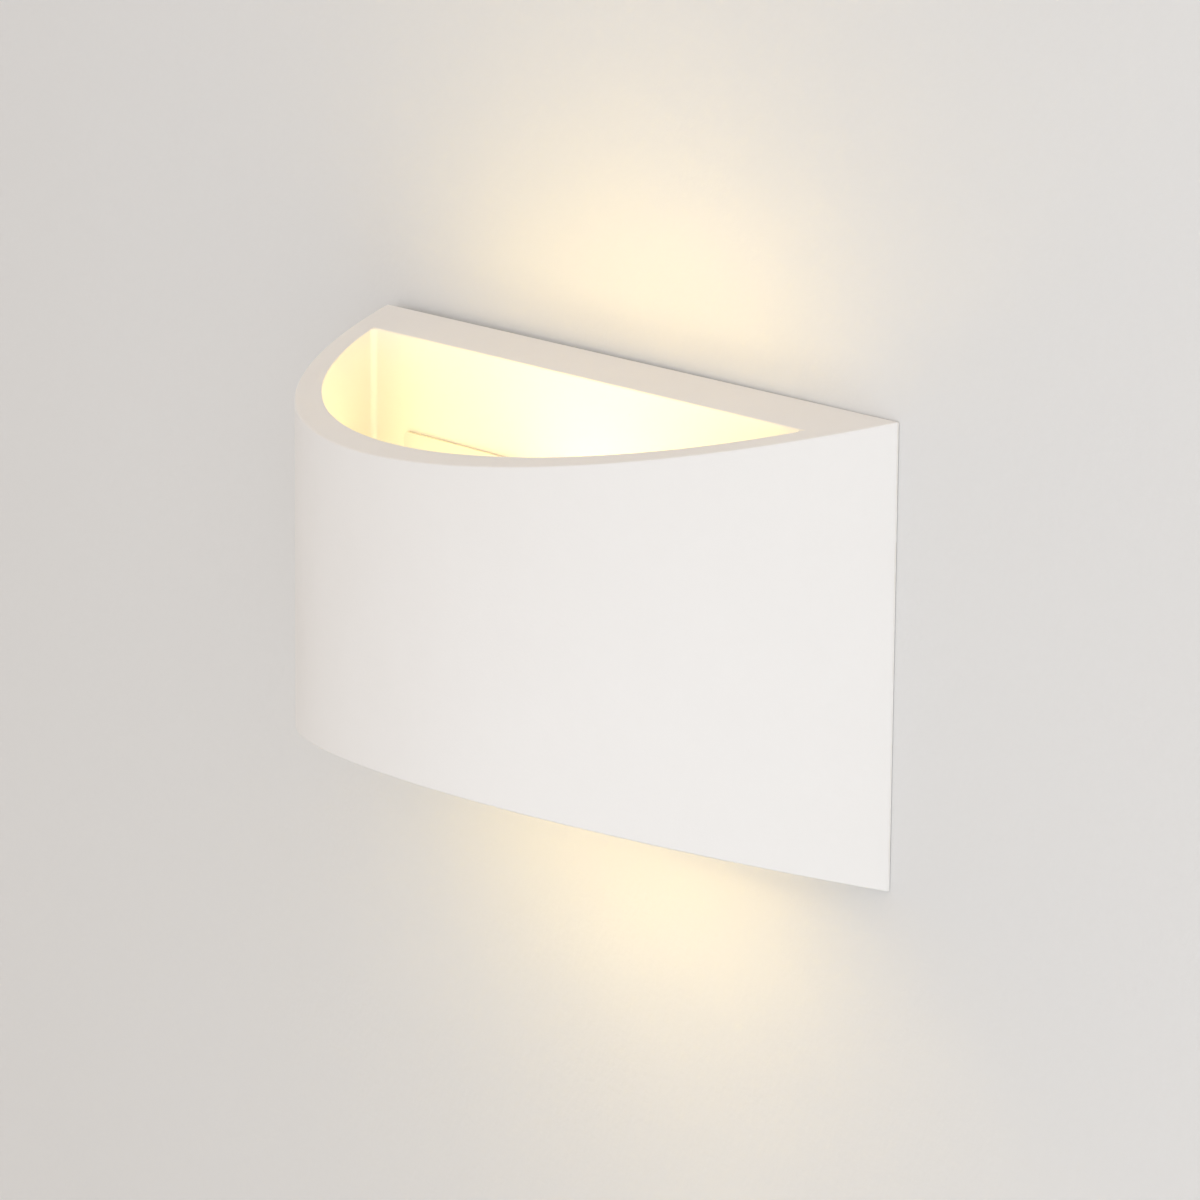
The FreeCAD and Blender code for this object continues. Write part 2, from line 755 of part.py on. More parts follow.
def lamp_cover():
    """Frosted tube with a round end."""
    start = lamp_cover_x
    centre = start + lamp_cover_straight
    inner = lamp_radius - lamp_cover_wall
    at_45 = math.sqrt(0.5)

    def place(x, radius):
        return Vector(x, lamp_y + radius, 0)

    outer_arc = Part.Arc(place(centre, lamp_radius),
                         place(centre + lamp_radius * at_45, lamp_radius * at_45),
                         place(centre + lamp_radius, 0)).toShape()
    inner_arc = Part.Arc(place(centre + inner, 0),
                         place(centre + inner * at_45, inner * at_45),
                         place(centre, inner)).toShape()
    outline = Part.Wire([
        Part.makeLine(place(start, lamp_radius), place(centre, lamp_radius)),
        outer_arc,
        Part.makeLine(place(centre + lamp_radius, 0), place(centre + inner, 0)),
        inner_arc,
        Part.makeLine(place(centre, inner), place(start, inner)),
        Part.makeLine(place(start, inner), place(start, lamp_radius)),
    ])
    return Part.Face(outline).revolve(Vector(0, lamp_y, 0), Vector(1, 0, 0), 360)


def lamp_chips():
    """Two rows of light-emitting chips on each side of the board."""
    first_x = lamp_cover_x + chip_first
    first_z = -chip_row_pitch * (chip_rows - 1) / 2
    chips = []
    for side in (-1, 1):
        near_y = lamp_y + side * lamp_board_thickness / 2
        far_y = near_y + side * chip_thickness
        for column in range(chip_columns):
            for row in range(chip_rows):
                x = first_x + column * chip_pitch
                z = first_z + row * chip_row_pitch
                chips.append(box(x - chip_length / 2, x + chip_length / 2, min(near_y, far_y),
                                 max(near_y, far_y), z - chip_height / 2, z + chip_height / 2))
    return chips


nodes = {
    "plaster_body": plaster_body,
    "wall_bracket": wall_bracket,
    "bracket_studs": bracket_studs,
    "stud_washers": stud_washers,
    "cap_nuts": cap_nuts,
    "cover_plate": cover_plate,
    "cable_bush": cable_bush,
    "terminal_block": terminal_block,
    "terminal_sleeves": terminal_sleeves,
    "terminal_screws": terminal_screws,
    "terminal_fixing_screws": terminal_fixing_screws,
    "wire_ferrules": wire_ferrules,
    "earth_washer": earth_washer,
    "earth_ring": earth_ring,
    "earth_screw": earth_screw,
    "earth_wire": earth_wire,
    "live_wire": lambda: lamp_wire(1),
    "neutral_wire": lambda: lamp_wire(-1),
    "wire_bushes": wire_bushes,
    "lampholder_carrier": lampholder_carrier,
    "carrier_rivets": carrier_rivets,
    "lampholder_body": lampholder_body,
    "lampholder_cap": lampholder_cap,
    "lampholder_contacts": lampholder_contacts,
    "lampholder_screws": lampholder_screws,
    "lamp_base": lamp_base,
    "lamp_pins": lamp_pins,
    "lamp_cover": lamp_cover,
    "lamp_board": lamp_board,
    "lamp_chips": lamp_chips,
}

os.makedirs("parts", exist_ok=True)
for name, make in nodes.items():
    made = make()
    solids = made if isinstance(made, list) else [made]
    shape = solids[0] if len(solids) == 1 else Part.makeCompound(solids)
    shape.exportStep("parts/%s.step" % name)
    print(name, len(shape.Solids), round(shape.Volume, 1), shape.isValid())
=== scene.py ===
import bmesh
import bpy
import math
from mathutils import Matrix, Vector


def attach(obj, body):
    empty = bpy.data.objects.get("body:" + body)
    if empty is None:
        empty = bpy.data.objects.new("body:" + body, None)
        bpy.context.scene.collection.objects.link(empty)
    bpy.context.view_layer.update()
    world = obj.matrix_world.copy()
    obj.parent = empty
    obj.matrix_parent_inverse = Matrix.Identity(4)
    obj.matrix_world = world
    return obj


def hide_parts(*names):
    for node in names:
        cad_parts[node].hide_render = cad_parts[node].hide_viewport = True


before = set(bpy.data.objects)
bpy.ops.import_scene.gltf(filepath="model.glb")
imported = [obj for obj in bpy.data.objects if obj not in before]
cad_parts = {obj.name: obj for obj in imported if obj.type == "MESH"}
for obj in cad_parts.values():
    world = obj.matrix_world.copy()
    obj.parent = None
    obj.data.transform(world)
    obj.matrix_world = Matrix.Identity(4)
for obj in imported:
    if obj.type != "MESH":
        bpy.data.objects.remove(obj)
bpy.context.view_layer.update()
print("frame loaded with", len(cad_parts), "nodes")

scene = bpy.context.scene
scene.view_settings.view_transform = "Standard"


class Value:
    # wraps one outlet of a node, so that shader maths reads as plain sums
    def __init__(self, finish, outlet):
        self.finish = finish
        self.outlet = outlet

    def maths(self, operation, *terms):
        return self.finish.node("ShaderNodeMath", {"operation": operation}, dict(enumerate(terms)))

    def __add__(self, other):
        return self.maths("ADD", self, other)

    def __radd__(self, other):
        return self.maths("ADD", other, self)

    def __sub__(self, other):
        return self.maths("SUBTRACT", self, other)

    def __rsub__(self, other):
        return self.maths("SUBTRACT", other, self)

    def __mul__(self, other):
        return self.maths("MULTIPLY", self, other)

    def __rmul__(self, other):
        return self.maths("MULTIPLY", other, self)

    def __truediv__(self, other):
        return self.maths("DIVIDE", self, other)

    def __rtruediv__(self, other):
        return self.maths("DIVIDE", other, self)

    def __pow__(self, other):
        return self.maths("POWER", self, other)

    def __gt__(self, other):
        return self.maths("GREATER_THAN", self, other)

    def __lt__(self, other):
        return self.maths("LESS_THAN", self, other)

    def __abs__(self):
        return self.maths("ABSOLUTE", self)

    def wave(self, perMetre):
        # 0 to 1 and back, so many times a metre
        return self.maths("SINE", self * (2 * math.pi * perMetre)) * 0.5 + 0.5

    def spread(self, low, high, toLow=0.0, toHigh=1.0):
        # carries low..high over to toLow..toHigh and stops there
        ends = {"Value": self, "From Min": low, "From Max": high, "To Min": toLow, "To Max": toHigh}
        return self.finish.node("ShaderNodeMapRange", {"clamp": True}, ends)


class Finish:
    # a material or a world, and the few ways in which its nodes are made
    def __init__(self, block):
        self.block = block
        block.use_nodes = True
        self.tree = block.node_tree
        self.tree.nodes.clear()

    def node(self, kind, settings=None, links=None, outlet=0):
        made = self.tree.nodes.new(kind)
        for name, value in (settings or {}).items():
            setattr(made, name, value)
        for name, value in (links or {}).items():
            if isinstance(value, Value):
                self.tree.links.new(value.outlet, made.inputs[name])
            else:
                made.inputs[name].default_value = value
        return Value(self, made.outputs[outlet]) if len(made.outputs) else None

    def place(self):
        # object coordinates move with a piece that moves
        return self.node("ShaderNodeTexCoord", outlet="Object")

    def axis(self, name):
        return self.node("ShaderNodeSeparateXYZ", links={0: self.place()}, outlet=name)

    def axes(self):
        return [self.axis(name) for name in "XYZ"]

    def noise(self, perMetre, detail=3.0, stretch=(1.0, 1.0, 1.0)):
        place = self.node("ShaderNodeVectorMath", {"operation": "MULTIPLY"}, {0: self.place(), 1: stretch})
        return self.node("ShaderNodeTexNoise", links={"Vector": place, "Scale": perMetre, "Detail": detail})

    def dots(self, perMetre, radius, share):
        # round spots of one radius in some of the cells
        links = {"Vector": self.place(), "Scale": perMetre}
        near = self.node("ShaderNodeTexVoronoi", links=links, outlet="Distance") < radius * perMetre
        colour = self.node("ShaderNodeTexVoronoi", links=links, outlet="Color")
        draw = self.node("ShaderNodeSeparateColor", links={0: colour})
        return near * (draw < share)

    def rings(self, across, perMetre):
        # turning marks round an axis, from the two distances across it
        first, second = across
        radius = (first * first + second * second) ** 0.5
        return radius.wave(perMetre)

    def mix(self, share, first, second):
        ends = [end if isinstance(end, Value) else (*end, 1.0) for end in (first, second)]
        return self.node("ShaderNodeMix", {"data_type": "RGBA"}, {0: share, 6: ends[0], 7: ends[1]}, 2)

    def bump(self, height, depth, under=None):
        links = {"Height": height, "Distance": depth}
        if under:
            links["Normal"] = under
        return self.node("ShaderNodeBump", links=links)

    def surface(self, **sockets):
        links = {}
        for name, value in sockets.items():
            words = "".join(" " + letter if letter.isupper() else letter for letter in name)
            flat = isinstance(value, tuple)
            links[words[0].upper() + words[1:]] = (*value, 1.0) if flat else value
        return self.node("ShaderNodeBsdfPrincipled", links=links)

    def output(self, shader, kind="ShaderNodeOutputMaterial"):
        self.node(kind, links={"Surface": shader})
        return self.block


def newFinish(name):
    return Finish(bpy.data.materials.new(name))


def dress(material, *names):
    for name in names:
        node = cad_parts[name]
        if not node.material_slots:
            node.data.materials.append(material)
        for materialSlot in node.material_slots:
            materialSlot.material = material


# the photograph's camera, in metres and degrees
view = {
    "place": (0.99994, -0.66186, 0.23034),
    "turn": (78.884, -0.500, 56.850),
    "lens": 152.37,
    "sensor": 36.0,
    "nearest": 0.01,
}

cameraData = bpy.data.cameras.new("camera")
cameraData.lens = view["lens"]
cameraData.sensor_width = view["sensor"]
cameraData.clip_start = view["nearest"]
camera = bpy.data.objects.new("camera", cameraData)
camera.location = view["place"]
camera.rotation_euler = [math.radians(angle) for angle in view["turn"]]
scene.collection.objects.link(camera)
scene.camera = camera
print("camera set")


# the shell's sizes are the ones of its solid; its rims are rounded here
shell = {
    "halfWidth": 0.110,
    "halfHeight": 0.0535,
    "depth": 0.0735,
    "curveReach": 0.1475,
    "slope": 12.5,
    "wellHalfWidth": 0.0935,
    "backWall": 0.014,
    "frontWall": 0.0075,
    "wellCorner": 0.0012,
    "rim": 0.0004,
    "rimSteps": 4,
    "curveSteps": 144,
    "cornerSteps": 6,
    "windowHalf": (0.066, 0.018),
    "windowCorner": 0.004,
}


def wellCircle(size):
    # centre and radius of the arc that bounds the well in front
    rise = size["depth"] - size["frontWall"] - size["backWall"]
    radius = (size["wellHalfWidth"] ** 2 + rise ** 2) / (2 * rise)
    return radius - size["backWall"] - rise, radius


# matte white cast plaster, left raw where it lies on the wall; painted lamp light makes it brighter and warmer
# inside the well, and painted shade darkens its pinholes and air holes
plaster = {
    "pale": (0.85, 0.842, 0.83),
    "deep": (0.828, 0.816, 0.80),
    "inside": (0.93, 0.90, 0.82),
    "raw": (0.77, 0.745, 0.70),
    "pinhole": (0.55, 0.53, 0.49),
    "roughness": (0.80, 0.93),
    "clouds": 11.0,
    "grain": 1500.0,
    "ripple": 45.0,
    "drag": 260.0,
    "pinholes": {"perMetre": 130.0, "radius": 0.00022, "share": 0.06},
    "airHoles": {"perMetre": 160.0, "radius": 0.0007, "share": 0.3},
    "paintEdge": 0.0004,
    "paintDepth": 0.0003,
}


def castPlaster(look):
    finish = newFinish("castPlaster")
    x, y, z = finish.axes()
    windowX, windowZ = [half + look["paintEdge"] for half in shell["windowHalf"]]
    wellBack = look["paintDepth"] - shell["backWall"]
    window = (y > wellBack - 0.0002) * (abs(x) < windowX) * (abs(z) < windowZ)
    unpainted = (window + (y > -look["paintDepth"])) > 0.5
    clouds = finish.noise(look["clouds"], 4.0).spread(0.3, 0.7)
    grain = finish.noise(look["grain"], 4.0)
    ripple = finish.noise(look["ripple"], 2.0)
    drag = finish.noise(look["drag"], 5.0, (0.12, 1.0, 1.0))
    pinholes = finish.dots(**look["pinholes"])
    airHoles = finish.dots(**look["airHoles"]) * unpainted
    centre, radius = wellCircle(shell)
    wellGlowMask = ((x ** 2 + (y - centre) ** 2) ** 0.5 < radius + shell["rim"] / 2) * (y < wellBack)
    painted = finish.mix(clouds, look["pale"], look["deep"])
    # painted lamp light: inside the well the plaster is coloured brighter and warmer than outside
    painted = finish.mix(wellGlowMask, painted, look["inside"])
    bare = finish.mix(drag.spread(0.35, 0.65), look["raw"], look["deep"])
    colour = finish.mix(unpainted, painted, bare)
    # painted shade: pinholes and air holes are coloured darker, as shade inside the holes
    colour = finish.mix(pinholes * 0.6 + airHoles * 0.8, colour, look["pinhole"])
    normal = finish.bump(ripple, 0.0006)
    normal = finish.bump(grain, 0.00003, normal)
    normal = finish.bump(1 - (pinholes + airHoles), 0.0001, normal)
    normal = finish.bump(drag * unpainted, 0.0003, normal)
    rough = grain.spread(0.3, 0.7, *look["roughness"])
    return finish.output(finish.surface(baseColor=colour, roughness=rough, normal=normal))


def arcPoints(centre, radii, start, end, steps):
    angles = [start + (end - start) * step / steps for step in range(steps + 1)]
    return [(centre[0] + radii[0] * math.cos(a), centre[1] + radii[1] * math.sin(a)) for a in angles]


def outerOutline(size):
    # from the left end round the front to the right end, seen from above
    centre = size["curveReach"] - size["depth"]
    share = centre / size["curveReach"]
    halfAxis = size["halfWidth"] / math.sqrt(1 - share ** 2)
    reach = math.asin(share)
    return arcPoints((0.0, centre), (halfAxis, size["curveReach"]), math.pi + reach, 2 * math.pi - reach,
                     size["curveSteps"])


def wellOutline(size):
    # one arc in front, a straight back and a small round in each corner
    centre, radius = wellCircle(size)
    corner = size["wellCorner"]
    cornerY = -size["backWall"] - corner
    cornerX = math.sqrt((radius - corner) ** 2 - (centre - cornerY) ** 2)
    lean = math.atan2(cornerY - centre, cornerX)
    front = arcPoints((0.0, centre), (radius, radius), math.pi - lean, 2 * math.pi + lean, size["curveSteps"])
    right = arcPoints((cornerX, cornerY), (corner, corner), lean, math.pi / 2, size["cornerSteps"])
    left = [(-x, y) for x, y in reversed(right)]
    return front[1:-1] + right + left


def windowOutline(size):
    halfX, halfZ = size["windowHalf"]
    corner = size["windowCorner"]
    points = []
    for quarter, (sideX, sideZ) in enumerate(((1, 1), (-1, 1), (-1, -1), (1, -1))):
        centre = (sideX * (halfX - corner), sideZ * (halfZ - corner))
        start = quarter * math.pi / 2
        points += arcPoints(centre, (corner, corner), start, start + math.pi / 2, size["cornerSteps"])
    return points


def mitres(outline):
    # how far and which way each corner moves when the outline grows by one
    moves = []
    for before, here, after in zip(outline[-1:] + outline[:-1], outline, outline[1:] + outline[:1]):
        first = Vector((here[1] - before[1], before[0] - here[0])).normalized()
        second = Vector((after[1] - here[1], here[0] - after[0])).normalized()
        moves.append((first + second) / (1 + first.dot(second)))
    return moves


def plasterShell(size, material):
    mesh = bmesh.new()
    fall = math.tan(math.radians(size["slope"]))
    turns = [math.pi / 2 * step / size["rimSteps"] for step in range(size["rimSteps"] + 1)]
    curve = [(size["rim"] * (1 - math.cos(turn)), size["rim"] * (1 - math.sin(turn))) for turn in turns]
    profile = [(inset, drop, -1) for inset, drop in reversed(curve)] + [(*pair, 1) for pair in curve]
    straight = size["rimSteps"]
    rims = {1: [], -1: []}
    holed = []
    for outline, inward in ((outerOutline(size), -1), (wellOutline(size), 1)):
        moves = mitres(outline)
        rings = []
        for inset, drop, side in profile:
            ring = []
            for (x, y), move in zip(outline, moves):
                atX, atY = x + inward * inset * move.x, y + inward * inset * move.y
                ring.append(mesh.verts.new((atX, atY, side * (size["halfHeight"] + fall * atY - drop))))
            rings.append(ring)
        count = len(outline)
        backStart = count - 1 if inward < 0 else count - size["cornerSteps"] - 2
        for level, (lower, upper) in enumerate(zip(rings, rings[1:])):
            for step in range(count):
                after = (step + 1) % count
                corners = [lower[step], lower[after], upper[after], upper[step]]
                if level == straight and step == backStart:
                    holed.append(corners)
                else:
                    mesh.faces.new(corners if inward < 0 else corners[::-1])
        for side, ring in ((-1, rings[0]), (1, rings[-1])):
            rims[side] += [mesh.edges.get((ring[step], ring[(step + 1) % count])) for step in range(count)]
    for side in (-1, 1):
        bmesh.ops.triangle_fill(mesh, edges=rims[side], use_beauty=True, normal=(0, 0, side))
    window = windowOutline(size)
    tunnel = []
    for corners, back in zip(holed, (0.0, -size["backWall"])):
        ring = [mesh.verts.new((x, back, z)) for x, z in window]
        tunnel.append(ring)
        edges = [mesh.edges.new((ring[step], ring[(step + 1) % len(ring)])) for step in range(len(ring))]
        edges += [mesh.edges.get((corners[step], corners[(step + 1) % 4])) for step in range(4)]
        bmesh.ops.triangle_fill(mesh, edges=edges, use_beauty=True, normal=(0, 1, 0))
    outside, inside = tunnel
    for step in range(len(outside)):
        after = (step + 1) % len(outside)
        mesh.faces.new((outside[step], outside[after], inside[after], inside[step]))
    bmesh.ops.recalc_face_normals(mesh, faces=mesh.faces)
    data = bpy.data.meshes.new("plasterShell")
    mesh.to_mesh(data)
    mesh.free()
    data.shade_smooth()
    data.set_sharp_from_angle(angle=math.radians(35))
    data.materials.append(material)
    piece = bpy.data.objects.new("plasterShell", data)
    scene.collection.objects.link(piece)
    weighted = piece.modifiers.new("flatStaysFlat", "WEIGHTED_NORMAL")
    weighted.keep_sharp = True
    return piece


shellPiece = plasterShell(shell, castPlaster(plaster))
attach(shellPiece, "fitting")
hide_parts("plaster_body")
print("shell made")

# cream stoved enamel on the cover plate, with painted shade, darker and amber, along its top and bottom edges
enamel = {
    "pale": (0.84, 0.81, 0.755),
    "deep": (0.82, 0.785, 0.725),
    "edge": (0.75, 0.67, 0.54),
    "edgeFrom": 0.0263,
    "roughness": (0.33, 0.46),
    "peel": 420.0,
    "patches": 25.0,
}


def stovedEnamel(look):
    finish = newFinish("stovedEnamel")
    height = abs(finish.axis("Z"))
    peel = finish.noise(look["peel"], 2.0)
    patches = finish.noise(look["patches"]).spread(0.35, 0.65)
    colour = finish.mix(patches, look["pale"], look["deep"])
    # painted shade: a thin strip at the top and bottom edges of the plate takes the darker amber colour
    colour = finish.mix(height > look["edgeFrom"], colour, look["edge"])
    normal = finish.bump(peel, 0.00006)
    rough = peel.spread(0.3, 0.7, *look["roughness"])
    return finish.output(finish.surface(baseColor=colour, roughness=rough, normal=normal))


dress(stovedEnamel(enamel), "cover_plate")

# bright zinc plate on rolled and pressed steel
zinc = {
    "blue": (0.60, 0.62, 0.65),
    "straw": (0.69, 0.67, 0.60),
    "stain": (0.42, 0.42, 0.42),
    "roughness": (0.26, 0.44),
    "tint": 70.0,
    "rolled": 900.0,
    "stains": 220.0,
}


def zincPlate(look):
    finish = newFinish("zincPlate")
    tint = finish.noise(look["tint"], 4.0).spread(0.35, 0.65)
    rolled = finish.noise(look["rolled"], 4.0, (0.04, 1.0, 1.0))
    stains = finish.noise(look["stains"], 5.0).spread(0.55, 0.8)
    colour = finish.mix(tint, look["blue"], look["straw"])
    colour = finish.mix(stains * 0.35, colour, look["stain"])
    rough = rolled.spread(0.3, 0.7, *look["roughness"]) + stains * 0.12
    normal = finish.bump(rolled, 0.00002)
    return finish.output(finish.surface(baseColor=colour, metallic=1.0, roughness=rough, normal=normal))


dress(zincPlate(zinc), "wall_bracket", "lampholder_carrier")

# turned and headed small parts: each look gives the metal, where its axes lie and how it is worn
studs = {"bright": (0.66, 0.67, 0.68), "dull": (0.48, 0.48, 0.48), "rings": 2600.0, "roughness": (0.24, 0.42)}
nuts = {"bright": (0.74, 0.71, 0.66), "dull": (0.60, 0.57, 0.52), "rings": 3400.0, "roughness": (0.16, 0.30)}
screws = {"bright": (0.68, 0.68, 0.66), "dull": (0.50, 0.49, 0.46), "rings": 3600.0, "roughness": (0.24, 0.46)}
brass = {"bright": (0.80, 0.60, 0.27), "dull": (0.52, 0.36, 0.15), "rings": 3000.0, "roughness": (0.22, 0.42)}
tin = {"bright": (0.74, 0.73, 0.70), "dull": (0.50, 0.49, 0.47), "rings": 1500.0, "roughness": (0.28, 0.50)}


def turnedMetal(name, look, across):
    finish = newFinish(name)
    rings = finish.rings(across(*finish.axes()), look["rings"])
    tarnish = finish.noise(500.0, 5.0).spread(0.42, 0.75)
    colour = finish.mix(tarnish, look["bright"], look["dull"])
    rough = (rings * 0.4 + tarnish * 0.6).spread(0.0, 1.0, *look["roughness"])
    normal = finish.bump(rings, 0.000012)
    return finish.output(finish.surface(baseColor=colour, metallic=1.0, roughness=rough, normal=normal))


# where the axes of the small parts lie
axesAt = {
    "studX": 0.057,
    "rivetX": -0.022,
    "rivetZ": 0.007,
    "lampY": -0.038,
    "holderScrewZ": 0.0086,
    "blockX": 0.004,
    "clampX": 0.0036,
    "polePitch": 0.0093,
    "earthX": -0.03,
}


def beside(value, offset):
    # from the nearer one of a pair, one each side of the middle
    return abs(value) - offset


def inRow(value, pitch):
    # from the nearest one of an even row
    return value.maths("WRAP", value, pitch / 2, -pitch / 2)


def roundStuds(x, y, z):
    return beside(x, axesAt["studX"]), z


def roundRivets(x, y, z):
    return x - axesAt["rivetX"], beside(z, axesAt["rivetZ"])


def roundHolderScrews(x, y, z):
    return y - axesAt["lampY"], beside(z, axesAt["holderScrewZ"])


def roundClampScrews(x, y, z):
    return beside(x - axesAt["blockX"], axesAt["clampX"]), inRow(z, axesAt["polePitch"])


def roundFixingScrews(x, y, z):
    return x - axesAt["blockX"], beside(z, axesAt["polePitch"] / 2)


def roundEarth(x, y, z):
    return x - axesAt["earthX"], z


def alongX(x, y, z):
    # marks across the length of a part, as a drawn or cut one has
    return x, y * 0.0


turned = [
    ("zincStuds", studs, roundStuds, ["bracket_studs", "stud_washers"]),
    ("satinNickel", nuts, roundStuds, ["cap_nuts"]),
    ("zincRivets", studs, roundRivets, ["carrier_rivets"]),
    ("zincHolderScrews", screws, roundHolderScrews, ["lampholder_screws"]),
    ("zincTerminalScrews", screws, roundClampScrews, ["terminal_screws"]),
    ("zincFixingScrews", screws, roundFixingScrews, ["terminal_fixing_screws"]),
    ("zincEarthWasher", studs, roundEarth, ["earth_washer"]),
    ("turnedBrass", brass, alongX, ["terminal_sleeves"]),
    ("earthBrass", brass, roundEarth, ["earth_screw"]),
    ("tinnedCopper", tin, alongX, ["wire_ferrules", "earth_ring", "lampholder_contacts", "lamp_pins"]),
]

for name, look, across, pieces in turned:
    dress(turnedMetal(name, look, across), *pieces)
print("metals done")

# natural polyamide, slightly yellow, with a fine spark-eroded texture
polyamide = {"pale": (0.82, 0.81, 0.75), "deep": (0.74, 0.725, 0.655), "roughness": (0.40, 0.56)}

# unglazed steatite: cream, with fine dark specks
steatite = {"pale": (0.83, 0.81, 0.76), "deep": (0.77, 0.745, 0.685), "roughness": (0.55, 0.72), "specks": 0.25}

# white thermoplastic of the lamp's base
lampWhite = {"pale": (0.85, 0.85, 0.835), "deep": (0.81, 0.805, 0.785), "roughness": (0.28, 0.38)}

# black-grey rubber of the bushes, with a pale bloom
rubber = {"pale": (0.085, 0.085, 0.088), "deep": (0.05, 0.05, 0.052), "roughness": (0.62, 0.85)}

# white solder mask
boardWhite = {"pale": (0.84, 0.84, 0.82), "deep": (0.79, 0.79, 0.76), "roughness": (0.35, 0.50)}


# what the mouldings share: dark specks and the pull of the flow
moulding = {"speck": (0.30, 0.27, 0.22), "speckRadius": 0.0001, "specksPerMetre": 900.0, "flow": 60.0}


def moulded(name, look, texture, depth):
    finish = newFinish(name)
    flow = finish.noise(moulding["flow"], 3.0, (0.4, 1.0, 1.0)).spread(0.35, 0.65)
    fine = finish.noise(texture, 3.0)
    spots = finish.dots(moulding["specksPerMetre"], moulding["speckRadius"], look.get("specks", 0.0))
    colour = finish.mix(flow, look["pale"], look["deep"])
    colour = finish.mix(spots * 0.5, colour, moulding["speck"])
    rough = fine.spread(0.3, 0.7, *look["roughness"])
    normal = finish.bump(fine, depth)
    return finish.output(finish.surface(baseColor=colour, roughness=rough, normal=normal))


mouldings = [
    ("naturalPolyamide", polyamide, 2200.0, 0.00003, ["terminal_block"]),
    ("steatite", steatite, 2600.0, 0.00005, ["lampholder_body", "lampholder_cap"]),
    ("lampPlastic", lampWhite, 1800.0, 0.000015, ["lamp_base"]),
    ("bushRubber", rubber, 1200.0, 0.00004, ["cable_bush", "wire_bushes"]),
    ("solderMask", boardWhite, 1500.0, 0.00002, ["lamp_board"]),
]

for name, look, texture, depth, pieces in mouldings:
    dress(moulded(name, look, texture, depth), *pieces)

# silicone sheaths, brown, blue, and green with a yellow stripe
sheaths = {
    "live_wire": ((0.125, 0.045, 0.018), (0.09, 0.032, 0.012)),
    "neutral_wire": ((0.022, 0.075, 0.32), (0.016, 0.055, 0.24)),
    "earth_wire": ((0.06, 0.25, 0.035), (0.78, 0.60, 0.03)),
}
silicone = {
    "dust": (0.55, 0.53, 0.50),
    "roughness": (0.34, 0.52),
    "fine": 700.0,
    "patches": 120.0,
    "stripeFrom": 0.0003,
}


def sheath(name, pale, deep, look):
    finish = newFinish(name + "Sheath")
    dust = finish.noise(look["fine"], 4.0)
    if name == "earth_wire":
        share = finish.axis("Z") > look["stripeFrom"]
    else:
        share = finish.noise(look["patches"]).spread(0.35, 0.65)
    colour = finish.mix(share, pale, deep)
    colour = finish.mix(dust.spread(0.55, 0.8) * 0.12, colour, look["dust"])
    rough = dust.spread(0.3, 0.7, *look["roughness"])
    normal = finish.bump(dust, 0.00002)
    return finish.output(finish.surface(baseColor=colour, roughness=rough, normal=normal))


for name, (pale, deep) in sheaths.items():
    dress(sheath(name, pale, deep, silicone), name)

# the lamp is lit: its frosted cover glows most over the chips
glow = {
    "cover": (0.93, 0.90, 0.80),
    "bright": (1.0, 0.76, 0.31),
    "dim": (0.20, 0.14, 0.05),
    "strength": 29.0,
    "axisDepth": 0.038,
    "radius": 0.008,
    "collarEnd": -0.0077,
    "litFrom": -0.003,
    "frost": 2400.0,
}
chips = {"pale": (0.90, 0.68, 0.12), "deep": (0.84, 0.58, 0.08), "grains": 3000.0, "share": 0.25}


def frostedCover(look):
    finish = newFinish("frostedCover")
    x, y, z = finish.axes()
    frost = finish.noise(look["frost"], 3.0)
    # the chips face the front and the back of the shell, so the cover is dimmer above and below
    toFront = ((y + look["axisDepth"]) / look["radius"]).spread(1.0, -0.8, 0.45, 1.0)
    upward = (abs(z) / look["radius"]).spread(0.3, 1.0, 1.0, 0.45)
    lit = x.spread(look["collarEnd"], look["litFrom"], 0.3, 1.0) * toFront * upward
    light = finish.mix(lit, look["dim"], look["bright"])
    rough = frost.spread(0.3, 0.7, 0.45, 0.62)
    normal = finish.bump(frost, 0.00002)
    return finish.output(finish.surface(baseColor=look["cover"], roughness=rough, emissionColor=light,
                                        emissionStrength=look["strength"], normal=normal))


def phosphor(look, light):
    finish = newFinish("phosphor")
    grains = finish.noise(look["grains"], 2.0)
    colour = finish.mix(grains.spread(0.3, 0.7), look["pale"], look["deep"])
    normal = finish.bump(grains, 0.00002)
    rough = grains.spread(0.3, 0.7, 0.5, 0.65)
    return finish.output(finish.surface(baseColor=colour, roughness=rough, emissionColor=light["bright"],
                                        emissionStrength=light["strength"] * look["share"], normal=normal))


dress(frostedCover(glow), "lamp_cover")
dress(phosphor(chips, glow), "lamp_chips")
print("finishes done")


# the wall that the light hangs on and a floor far below; both are clear to whoever looks from behind
wall = {
    "reach": 4.0,
    "gap": 0.00015,
    "lean": 0.012,
    "floorDrop": 0.9,
    "pale": (0.765, 0.77, 0.77),
    "deep": (0.75, 0.753, 0.75),
    "roughness": (0.75, 0.9),
    "roller": 380.0,
    "patches": 3.0,
}


